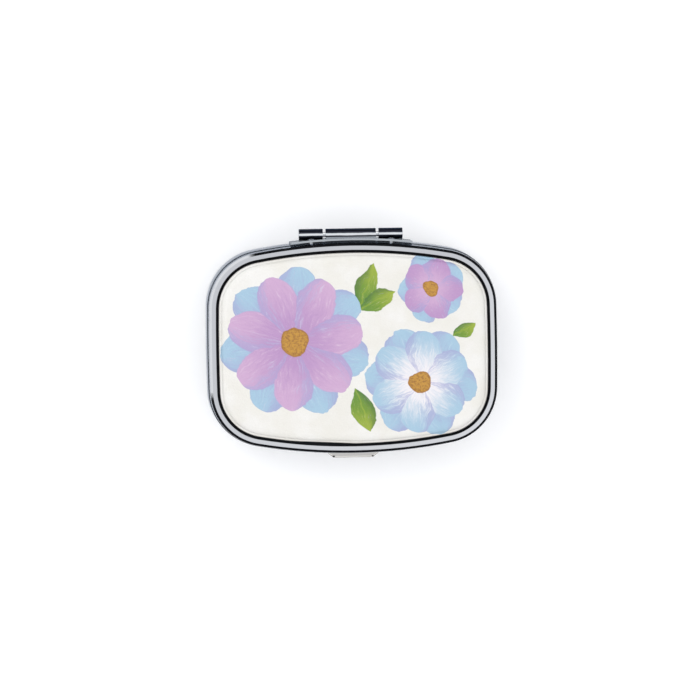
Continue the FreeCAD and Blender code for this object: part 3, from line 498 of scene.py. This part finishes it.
def outline(inset, spacing):
    """Points round the cushion outline, moved in by inset, about spacing apart."""
    bow_x = SHORT_BOW - HALF_LONG
    bow_y = LONG_BOW - HALF_WIDE
    to_long = LONG_BOW - CORNER
    to_short = SHORT_BOW - CORNER
    span = math.hypot(bow_x, bow_y)
    along = (to_long ** 2 - to_short ** 2 + span ** 2) / (2 * span)
    aside = math.sqrt(to_long ** 2 - along ** 2)
    corner_x = (-bow_x * along + bow_y * aside) / span
    corner_y = -bow_y + (bow_y * along + bow_x * aside) / span
    lean_long = math.atan2(corner_x, bow_y + corner_y)
    lean_short = math.atan2(corner_y, bow_x + corner_x)
    quarter = math.pi / 2
    # the right half of the front bow, the corner and the lower half of the right bow
    arcs = [
        (0, bow_y, LONG_BOW - inset, -quarter, -quarter + lean_long),
        (corner_x, -corner_y, CORNER - inset, -quarter + lean_long, -lean_short),
        (-bow_x, 0, SHORT_BOW - inset, -lean_short, 0),
    ]
    first = []
    for x, y, radius, start, end in arcs:
        steps = max(2, round(radius * (end - start) / spacing))
        for step in range(steps):
            angle = start + (end - start) * step / steps
            first.append((x + radius * math.cos(angle), y + radius * math.sin(angle)))
    side = (HALF_LONG - inset, 0.0)
    second = [side] + [(x, -y) for x, y in reversed(first[1:])]
    back = (0.0, HALF_WIDE - inset)
    right = first + second
    left = [back] + [(-x, y) for x, y in reversed(right[1:])]
    return right + left


def skin(name, rows, inner_rings, dome, closed, spacing=0.4 * MM):
    """A padded form.  rows are (inset, height) from underneath round the edge to the top;
    from there rings close in to the middle, raised by dome(share).  Only a closed form has
    an underside."""
    mesh = bmesh.new()
    loops = []
    for inset, height in rows:
        points = outline(inset, spacing)
        loops.append([mesh.verts.new((x, y, height)) for x, y in points])
    top_inset, top_height = rows[-1]
    edge = outline(top_inset, spacing)
    for ring in range(1, inner_rings):
        share = 1 - ring / inner_rings
        height = top_height + dome(share)
        loops.append([mesh.verts.new((x * share, y * share, height)) for x, y in edge])
    count = len(edge)
    for lower, upper in zip(loops, loops[1:]):
        for index in range(count):
            after = (index + 1) % count
            mesh.faces.new((lower[index], lower[after], upper[after], upper[index]))
    crown = mesh.verts.new((0, 0, top_height + dome(0)))
    for index in range(count):
        mesh.faces.new((loops[-1][index], loops[-1][(index + 1) % count], crown))
    if closed:
        foot = mesh.verts.new((0, 0, rows[0][1]))
        for index in range(count):
            mesh.faces.new((loops[0][(index + 1) % count], loops[0][index], foot))
    bmesh.ops.recalc_face_normals(mesh, faces=mesh.faces)
    data = bpy.data.meshes.new(name)
    mesh.to_mesh(data)
    mesh.free()
    for face in data.polygons:
        face.use_smooth = True
    piece = bpy.data.objects.new(name, data)
    bpy.context.scene.collection.objects.link(piece)
    return piece


# the line pressed into the roll where the leather is drawn over the board's edge
CREASE_AT = 0.62 * MM
CREASE_WIDE = 0.17 * MM
CREASE_DEPTH = 0.21 * MM
CROWN = 0.28 * MM
COVER_ROLL = 2.2 * MM
COVER_SHEET = 0.45 * MM
LEFT_FREE = 0.03 * MM


def rolled_edge(outer, low, high, reach, steps):
    """Rows of (inset, height) from a piece's lower edge up a rounded roll to its top."""
    rows = [(outer, low)]
    start = low + 0.5 * MM
    for step in range(steps + 1):
        angle = math.pi / 2 * step / steps
        inset = outer + reach * (1 - math.cos(angle))
        rows.append((inset, start + (high - start) * math.sin(angle)))
    return rows


def domed(share):
    return CROWN * (1 - share ** 2.2)


def make_cover():
    """The printed leather, drawn over the pad and down its sides."""
    low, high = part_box("printed_cover")
    inset = HALF_LONG - high.x
    rows = rolled_edge(inset, low.z, high.z - CROWN, COVER_ROLL, 34)
    pressed = []
    for row_inset, height in rows:
        away = (row_inset - inset - CREASE_AT) / CREASE_WIDE
        pressed.append((row_inset, height - CREASE_DEPTH * math.exp(-away ** 2)))
    piece = skin("leather_cover", pressed, 46, domed, False)
    sheet = piece.modifiers.new("sheet", "SOLIDIFY")
    sheet.thickness = COVER_SHEET
    sheet.offset = -1
    piece.data.materials.append(printed_leather(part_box("lid_shell")[1].z))
    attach(piece, "lid")
    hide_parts("printed_cover")


def make_pad():
    """The foam between the leather and the board, domed with the cover."""
    low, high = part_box("lid_pad")
    cover_low, cover_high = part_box("printed_cover")
    inner = HALF_LONG - cover_high.x + COVER_SHEET + LEFT_FREE
    top = cover_high.z - COVER_SHEET - LEFT_FREE - CROWN - CREASE_DEPTH
    rows = rolled_edge(inner, low.z, top, COVER_ROLL - COVER_SHEET, 12)
    piece = skin("foam_pad", rows, 20, domed, True, 0.8 * MM)
    piece.data.materials.append(flecked("pad_foam", (0.80, 0.78, 0.70), (0.66, 0.63, 0.54),
                                        5.0, 0.85, 0.08))
    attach(piece, "lid")
    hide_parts("lid_pad")


def make_spring():
    """The leaf spring behind the latch plate. The real one flattens as the button goes in; this
    copy keeps the CAD part's shape.
    """
    piece = bpy.data.objects.new("leaf_spring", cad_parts["button_spring"].data.copy())
    bpy.context.scene.collection.objects.link(piece)
    piece.data.materials.clear()
    piece.data.materials.append(metal("spring_strip", (0.42, 0.44, 0.50), 0.25, (1, 1, 6), 1.0))
    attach(piece, "base")
    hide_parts("button_spring")
    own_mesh(piece)


# ------------------------------------------------------------------ CAD pieces

def paint(material, *nodes):
    for node in nodes:
        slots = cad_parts[node].data.materials
        slots.clear()
        slots.append(material)


board_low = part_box("board_glue")[0].z
paint(lid_metal("lid_plating", (0.60, 0.605, 0.62), GRAZING, board_low,
                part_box("lid_shell")[1].z), "lid_shell")
paint(metal("base_plating", (0.56, 0.57, 0.59), 0.06, edge=GRAZING), "base_shell")
pin_low, pin_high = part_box("hinge_pin")
axis_y = (pin_low.y + pin_high.y) / 2
# the hinge: barrels with a painted dark reflection and a painted highlight along their top
paint(hinge_metal("hinge_plating", (0.020, 0.022, 0.032), (0.78, 0.79, 0.80),
                  (0.46, 0.48, 0.50), axis_y, (pin_low.z + pin_high.z) / 2,
                  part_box("base_hinge_leaf")[1].y - axis_y),
      "base_hinge_leaf", "lid_hinge_leaf")
paint(metal("rivet_plating", (0.40, 0.41, 0.43), 0.16, edge=GRAZING),
      "base_leaf_rivets", "lid_leaf_rivets")
paint(metal("pin_wire", (0.74, 0.74, 0.75), 0.12, (1, 6, 6)), "hinge_pin")
paint(metal("button_plating", (0.58, 0.56, 0.53), 0.09), "push_button")
paint(metal("latch_strip", (0.60, 0.61, 0.63), 0.28, (6, 1, 1), 1.0),
      "latch_plate", "lid_hook")
paint(plastic("housing_plastic", (0.80, 0.80, 0.78), 0.45, 0.02), "latch_housing")
paint(plastic("tray_plastic", (0.76, 0.775, 0.79), 0.22, 0.006, 0.35), "pill_tray")
paint(plastic("frame_plastic", (0.80, 0.80, 0.80), 0.20, 0.005, 0.15), "mirror_frame")
paint(mirror_material(), "mirror")
paint(flecked("foam_tape", (0.82, 0.80, 0.72), (0.74, 0.72, 0.63), 4.0, 0.7, 0.03),
      "tray_tape", "mirror_tape")
paint(flecked("dried_glue", (0.78, 0.70, 0.48), (0.86, 0.80, 0.60), 0.8, 0.3, 0.03),
      "board_glue")
paint(flecked("pressed_board", (0.42, 0.35, 0.26), (0.52, 0.45, 0.35), 2.2, 0.8, 0.03),
      "cover_board")
make_spring()
make_pad()
make_cover()


# ------------------------------------------------------------------ stage, light and camera

# the floor lies this far under the base, so that the two surfaces don't coincide
FLOOR_GAP = 0.02 * MM
HALF_FLOOR = 1.5


def make_floor():
    """A wide sheet of pale paper that glows faintly."""
    mesh = bmesh.new()
    bmesh.ops.create_grid(mesh, x_segments=1, y_segments=1, size=HALF_FLOOR)
    data = bpy.data.meshes.new("floor")
    mesh.to_mesh(data)
    mesh.free()
    floor = bpy.data.objects.new("floor", data)
    bpy.context.scene.collection.objects.link(floor)
    floor.location.z = cad_low.z - FLOOR_GAP
    material, graph, shader, place = new_material("floor_paper")
    fine = graph.noise(place, 1.0, 2.0, 0.5)
    graph.put(shader.inputs["Base Color"],
              graph.mix(fine, (0.90, 0.90, 0.90, 1), (0.92, 0.92, 0.92, 1)))
    shader.inputs["Roughness"].default_value = 0.9
    shader.inputs["Emission Color"].default_value = (1, 1, 1, 1)
    shader.inputs["Emission Strength"].default_value = 0.14
    data.materials.append(material)


# the world's bands, each as the sine of the height where it starts and ends to change
GROUND_BAND = (0.07, 0.02)
CEILING_BAND = (0.38, 0.52)
ZENITH_BAND = (0.80, 0.95)
PANEL_BAND = (0.20, 0.25)
# the panel's direction in degrees from the x axis, and the cosines that end it sideways
PANEL_TURN = 146
PANEL_SIDES = (0.66, 0.74)


def make_world():
    """A pale room: bright overhead and at the ground, with a dark belt between them."""
    world = bpy.data.worlds.new("room")
    bpy.context.scene.world = world
    world.use_nodes = True
    tree = world.node_tree
    tree.nodes.clear()
    graph = Graph(tree)
    direction = graph.node("ShaderNodeTexCoord").outputs["Generated"]
    height = graph.split(direction)[2]
    sky = graph.mix(graph.ramp(height, *CEILING_BAND), (0.012, 0.013, 0.016, 1),
                    (1.42, 1.43, 1.46, 1))
    sky = graph.mix(graph.ramp(height, *ZENITH_BAND), sky, (0.92, 0.94, 0.98, 1))
    # the pale ground goes on beyond the floor's edge, up to the horizon
    sky = graph.mix(graph.ramp(height, *GROUND_BAND), sky, (0.85, 0.86, 0.88, 1))
    # a long soft panel to the left and behind, low enough for the upright faces to catch
    turn = math.radians(PANEL_TURN)
    towards = graph.dot(direction, (math.cos(turn), math.sin(turn), 0))
    beside = graph.ramp(towards, *PANEL_SIDES)
    panel = graph.calc("MULTIPLY", graph.ramp(height, *PANEL_BAND), beside)
    sky = graph.mix(panel, sky, (1.15, 1.17, 1.20, 1))
    background = graph.node("ShaderNodeBackground")
    graph.put(background.inputs["Color"], sky)
    background.inputs["Strength"].default_value = 1.0
    output = graph.node("ShaderNodeOutputWorld")
    tree.links.new(background.outputs[0], output.inputs[0])


# the point that the lamps face, inside the box
LAMP_AIM = Vector((0, 0, 12 * MM))


def area_light(name, place, size, power):
    """A rectangular lamp of size by size metres and power watts, facing the box."""
    data = bpy.data.lights.new(name, "AREA")
    data.shape = "RECTANGLE"
    data.size = size
    data.size_y = size
    data.energy = power
    lamp = bpy.data.objects.new(name, data)
    bpy.context.scene.collection.objects.link(lamp)
    lamp.location = place
    direction = LAMP_AIM - Vector(place)
    lamp.rotation_euler = direction.to_track_quat("-Z", "Y").to_euler()


# the camera's lean to the left and to the back, and its roll, in degrees
LEAN_LEFT = 3.6
LEAN_BACK = 3.8
ROLL = -0.8
# focal length and sensor width in camera millimetres
LENS = 200.0
SENSOR = 36.0
# how far the view's middle lies from the lid's middle, to the left and down
AIM_LEFT = 0.77 * MM
AIM_DOWN = 0.36 * MM


def make_camera():
    """Nearly straight above, a little to the left and behind, turned slightly."""
    lean_x = math.radians(-LEAN_LEFT)
    lean_y = math.radians(LEAN_BACK)
    back = Vector((math.tan(lean_x), math.tan(lean_y), 1)).normalized()
    distance = LENS / SENSOR * VIEW_WIDTH
    roll = math.radians(ROLL)
    up = Vector((-math.sin(roll), math.cos(roll), 0))
    up = (up - back * up.dot(back)).normalized()
    right = up.cross(back)
    ring_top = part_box("lid_shell")[1].z
    target = Vector((0, 0, ring_top)) - right * AIM_LEFT - up * AIM_DOWN
    data = bpy.data.cameras.new("camera")
    data.lens = LENS
    data.sensor_width = SENSOR
    data.clip_end = 10
    camera = bpy.data.objects.new("camera", data)
    bpy.context.scene.collection.objects.link(camera)
    turn = Matrix((right, up, back)).transposed().to_4x4()
    camera.matrix_world = Matrix.Translation(target + back * distance) @ turn
    bpy.context.scene.camera = camera


make_floor()
make_world()
area_light("key", (-0.55, 0.45, 0.80), 0.7, 1.6)
area_light("fill", (0.70, -0.45, 0.60), 0.6, 0.6)
make_camera()
bpy.context.scene.view_settings.view_transform = "Standard"
